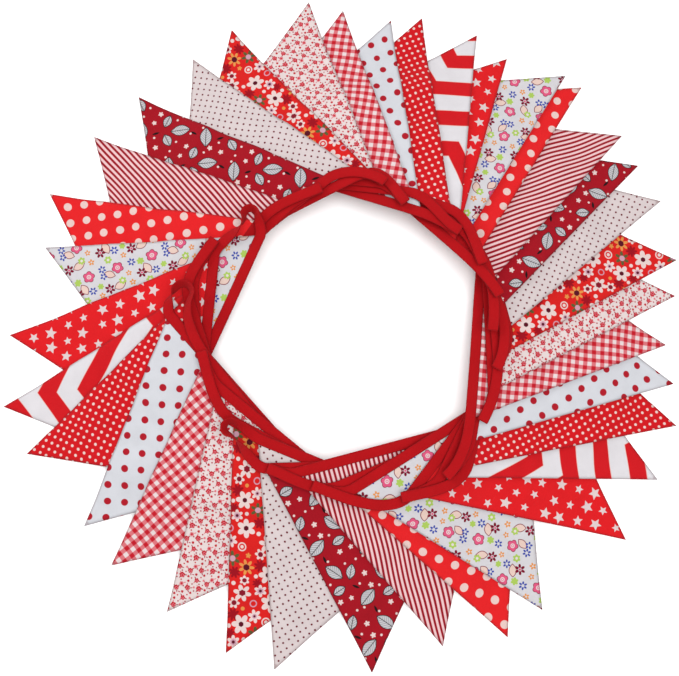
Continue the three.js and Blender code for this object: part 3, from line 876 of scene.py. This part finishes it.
def loop_over(k, ahead, inward, wide):
    """The loop from flag k to the next one, over the pile."""
    low, high = places[k + 1], places[k]
    start, corner = high.at(TAPE_MIDDLE, FLAG_HALF_BASE), low.at(TAPE_MIDDLE, FLAG_HALF_BASE)
    end = corner + ahead * low.along + inward * low.down
    bend = max(BEND_LEAST, min(BEND_MOST, BEND_GAIN * math.atan2(inward, ahead)))
    way = math.cos(bend) * low.along + math.sin(bend) * low.down
    side = Vector((-way.y, way.x))
    side *= math.copysign(wide / 2, side.dot(start - corner))
    upper = strand(start, high.along, end + side, way, LOOP_STEPS, lambda p, s: layer_height(k, p))
    lower = strand(corner, low.along, end - side, way, LOOP_STEPS,
                   lambda p, s: layer_height(k + 1, p))
    if wide:
        return stand_up(upper + round_turn(upper[-1], lower[-1], way * wide / 2) + backwards(lower))
    return upper + turn_back(upper[-1], lower[-1]) + backwards(lower)


def descend(start, end):
    """Height of a strand that goes down under the pile."""
    return lambda p, s: start + (end - start) * ease(UNDER_STEEP * s)


def fold_under(k):
    """The flat fold from flag k to the next one, under the pile."""
    high, low = places[k], places[k + 1]
    start, other = high.at(TAPE_MIDDLE, -FLAG_HALF_BASE), low.at(TAPE_MIDDLE, -FLAG_HALF_BASE)
    end = start - UNDER_REACH * high.along
    upper = strand(start, -high.along, end, -high.along, HIGH_STEPS,
                   descend(layer_height(k, start), UNDER_TOP))
    lower = strand(other, -low.along, end, -high.along, LOW_STEPS,
                   descend(layer_height(k + 1, other), UNDER_LOW))
    return upper + turn_back(upper[-1], lower[-1]) + backwards(lower)


def tail(k):
    """A free end of the tape, past flag k's under corner."""
    place = places[k]
    start = place.at(TAPE_MIDDLE, -FLAG_HALF_BASE)
    return strand(start, -place.along, start - TAIL * place.along, -place.along, TAIL_STEPS,
                  descend(layer_height(k, start), UNDER_LOW))


# %% Walk the route
route = backwards(tail(0))
for k in range(len(places)):
    held = held_run(k)
    route += held if k % 2 == 0 else backwards(held)
    if k % 2 == 0:
        route += loop_over(k, *LOOPS[k // 2])
    elif k + 1 < len(places):
        route += fold_under(k)
route += tail(len(places) - 1)

# %% [markdown]
# ## Binding tape
#
# Bias binding is a flat strip, folded lengthwise over the raw edge and stitched through. So the
# mesh starts as a flat grid, as long as the route and as wide as the strip before folding. Each
# column of the grid is one station, and each row has its place on the folded section: out
# along the upper leaf, round the closed edge, and back along the lower leaf.

# %% Red binding material
STRIP = 2 * TAPE_WIDTH
STITCH, STITCH_SHARE = 2.6, 0.78     # from stitch to stitch, and the share that shows
SEAM, SEAM_HALF, SEAM_SOFT = 1.6, 0.28, 0.2  # the seam's way in from the open edge, and its thread
PUCKER_HALF, PUCKER_SOFT = 1.1, 1.5
# painted shade along the tape's open edges and its fold, standing for the dark lines between strands:
# how far in it reaches, how softly it fades, and how much of it shows
TAPE_EDGE_SHADE_IN, TAPE_EDGE_SHADE_SOFT, TAPE_EDGE_SHADE_SHARE = 0.7, 1.2, 0.55
BINDING, SEAM_THREAD, TAPE_EDGE_PAINTED_SHADE = dye(188, 8, 18), dye(146, 4, 14), dye(120, 2, 12)
BINDING_UNEVEN, BINDING_BUMP, THREAD_BUMP, PUCKER_BUMP = 0.22, 0.5, 1.2, 0.35
tape_cloth = bpy.data.materials.new("red_binding")
tape_cloth.use_nodes = True
c = Wiring(tape_cloth.node_tree)
shader = tape_cloth.node_tree.nodes["Principled BSDF"]
split = c.add("ShaderNodeSeparateXYZ")
c.wire(c.add("ShaderNodeUVMap", uv_map="cloth").outputs[0], split.inputs[0])
length_mm, width_mm = (c.sum("DIVIDE", split.outputs[n], MM) for n in (0, 1))
open_edge = c.sum("MINIMUM", width_mm, c.sum("SUBTRACT", STRIP, width_mm))
from_seam = c.sum("ABSOLUTE", c.sum("SUBTRACT", open_edge, SEAM))
thread = c.sum("MULTIPLY", c.step(c.sum("SUBTRACT", SEAM_HALF, from_seam), SEAM_SOFT),
               bands(c, length_mm, STITCH, STITCH_SHARE))
puckers = c.sum("MULTIPLY", c.sum("SINE", c.sum("MULTIPLY", length_mm, TURN / STITCH)),
                c.step(c.sum("SUBTRACT", PUCKER_HALF, from_seam), PUCKER_SOFT))
# painted shade: the colour darkens towards the open edges and the fold
rim = c.sum("MINIMUM", open_edge, c.sum("ABSOLUTE", c.sum("SUBTRACT", width_mm, TAPE_WIDTH)))
tape_edge_shade = c.sum("MULTIPLY", c.step(c.sum("SUBTRACT", TAPE_EDGE_SHADE_IN, rim), TAPE_EDGE_SHADE_SOFT), TAPE_EDGE_SHADE_SHARE)
plain = c.mix(tape_edge_shade, c.mix(thread, BINDING, SEAM_THREAD), TAPE_EDGE_PAINTED_SHADE)
out = c.place(cotton_group, Print=plain, Unevenness=BINDING_UNEVEN)
bump = c.add("ShaderNodeBump")
bump.inputs["Strength"].default_value = BINDING_BUMP
bump.inputs["Distance"].default_value = BUMP_DEPTH * MM
sewing = c.sum("ADD", c.sum("MULTIPLY", thread, THREAD_BUMP), c.sum("MULTIPLY", puckers, PUCKER_BUMP))
c.wire(c.sum("ADD", out["Height"], sewing), bump.inputs["Height"])
c.wire(out["Colour"], shader.inputs["Base Color"])
c.wire(bump.outputs[0], shader.inputs["Normal"])
shader.inputs["Roughness"].default_value = 0.85
shader.inputs["Specular IOR Level"].default_value = 0.12
shader.inputs["Sheen Weight"].default_value = 0.02
print("tape cloth:", tape_cloth.name, "strip %d mm" % STRIP)

# %% Fold the strip along its route
LEAF_THICK = 0.4
# across the folded section: way in (-5 open edge, 5 closed edge), share of the half opening
SECTION = ((-5.0, 0.82), (-4.4, 1.0), (-1.0, 1.05), (3.4, 1.0), (4.6, 0.72), (5.0, 0.0),
           (4.6, -0.72), (3.4, -1.0), (-1.0, -1.05), (-4.4, -1.0), (-5.0, -0.82))
last_column, last_row = len(route) - 1, len(SECTION) - 1

bm = bmesh.new()
bmesh.ops.create_grid(bm, x_segments=last_column, y_segments=last_row, size=0.5)
layer = bm.loops.layers.uv.new("cloth")
gone = [0.0]
for a, b in zip(route, route[1:]):
    gone.append(gone[-1] + (b[0] - a[0]).length)
spot = {v: (round((v.co.x + 0.5) * last_column), round((v.co.y + 0.5) * last_row))
        for v in bm.verts}
for face in bm.faces:
    for loop in face.loops:
        column, row = spot[loop.vert]
        loop[layer].uv = (gone[column] * MM, STRIP * row / last_row * MM)
for v, (column, row) in spot.items():
    middle, along, inward, gap = route[column]
    face_way = inward.cross(along).normalized()
    way_in, share = SECTION[row]
    v.co = (middle + way_in * inward + share * gap * face_way) * MM
tape = finish_sheet(bm, "folded_binding", tape_cloth, LEAF_THICK)
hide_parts("binding_tape")
print("tape faces:", len(tape.data.polygons))

# %% [markdown]

# %% [markdown]
# ## Floor, light and camera
#
# The photograph is taken from above, a little from the near side, on white. A wide pale floor, a
# bright even sky and one large soft lamp give nearly the same shadowless look. A smaller lamp to
# the side lets each edge show. Here the values are metres.

# %% Floor
FLOOR_HALF, FLOOR_DROP = 4.0, 0.0006
PAPER_WHITE = (0.95, 0.95, 0.95, 1)
floor_bm = bmesh.new()
bmesh.ops.create_grid(floor_bm, x_segments=1, y_segments=1, size=FLOOR_HALF)
floor_mesh = bpy.data.meshes.new("floor")
floor_bm.to_mesh(floor_mesh)
floor_bm.free()
floor = bpy.data.objects.new("floor", floor_mesh)
floor.location.z = -FLOOR_DROP
bpy.context.collection.objects.link(floor)
paper = bpy.data.materials.new("floor_white")
paper.use_nodes = True
shader = paper.node_tree.nodes["Principled BSDF"]
shader.inputs["Base Color"].default_value = PAPER_WHITE
shader.inputs["Roughness"].default_value = 0.9
floor_mesh.materials.append(paper)
print("floor: %.0f m wide" % (2 * FLOOR_HALF))

# %% Light
SKY_STRENGTH = 0.7
world = bpy.data.worlds.new("sky")
bpy.context.scene.world = world
world.use_nodes = True
sky = world.node_tree.nodes["Background"]
sky.inputs["Color"].default_value = (1, 1, 1, 1)
sky.inputs["Strength"].default_value = SKY_STRENGTH


def soft_lamp(name, place, aim, size, watts):
    data = bpy.data.lights.new(name, "AREA")
    data.shape = "SQUARE"
    data.size = size
    data.energy = watts
    lamp = bpy.data.objects.new(name, data)
    lamp.location = place
    lamp.rotation_euler = (Vector(aim) - Vector(place)).to_track_quat("-Z", "Y").to_euler()
    bpy.context.collection.objects.link(lamp)
    print("lamp:", name, watts, "W")


soft_lamp("softbox", place=(0.3, -0.25, 2.1), aim=(0.1, -0.1, 0), size=2.0, watts=48)
soft_lamp("side_window", place=(-1.5, 0.9, 1.0), aim=(0, 0, 0), size=0.8, watts=15)

# %% Camera
FOCUS_PIXELS, IMAGE_WIDTH, SENSOR = 800, 679, 36
eye = Vector((-0.0270, -0.1155, 0.7938))
aim = Vector((-0.0078, -0.0176, 0.0))
look = (aim - eye).normalized()
right = look.cross(Vector((0, 1, 0))).normalized()
up = right.cross(look)
camera_data = bpy.data.cameras.new("camera")
camera_data.sensor_fit = "HORIZONTAL"
camera_data.sensor_width = SENSOR
camera_data.lens = SENSOR * FOCUS_PIXELS / IMAGE_WIDTH
camera_data.clip_start = 0.01
camera = bpy.data.objects.new("camera", camera_data)
camera.matrix_world = Matrix.Translation(eye) @ Matrix((right, up, -look)).transposed().to_4x4()
bpy.context.collection.objects.link(camera)
bpy.context.scene.camera = camera
bpy.context.scene.view_settings.view_transform = "Standard"
print("lens: %.1f mm" % camera_data.lens)
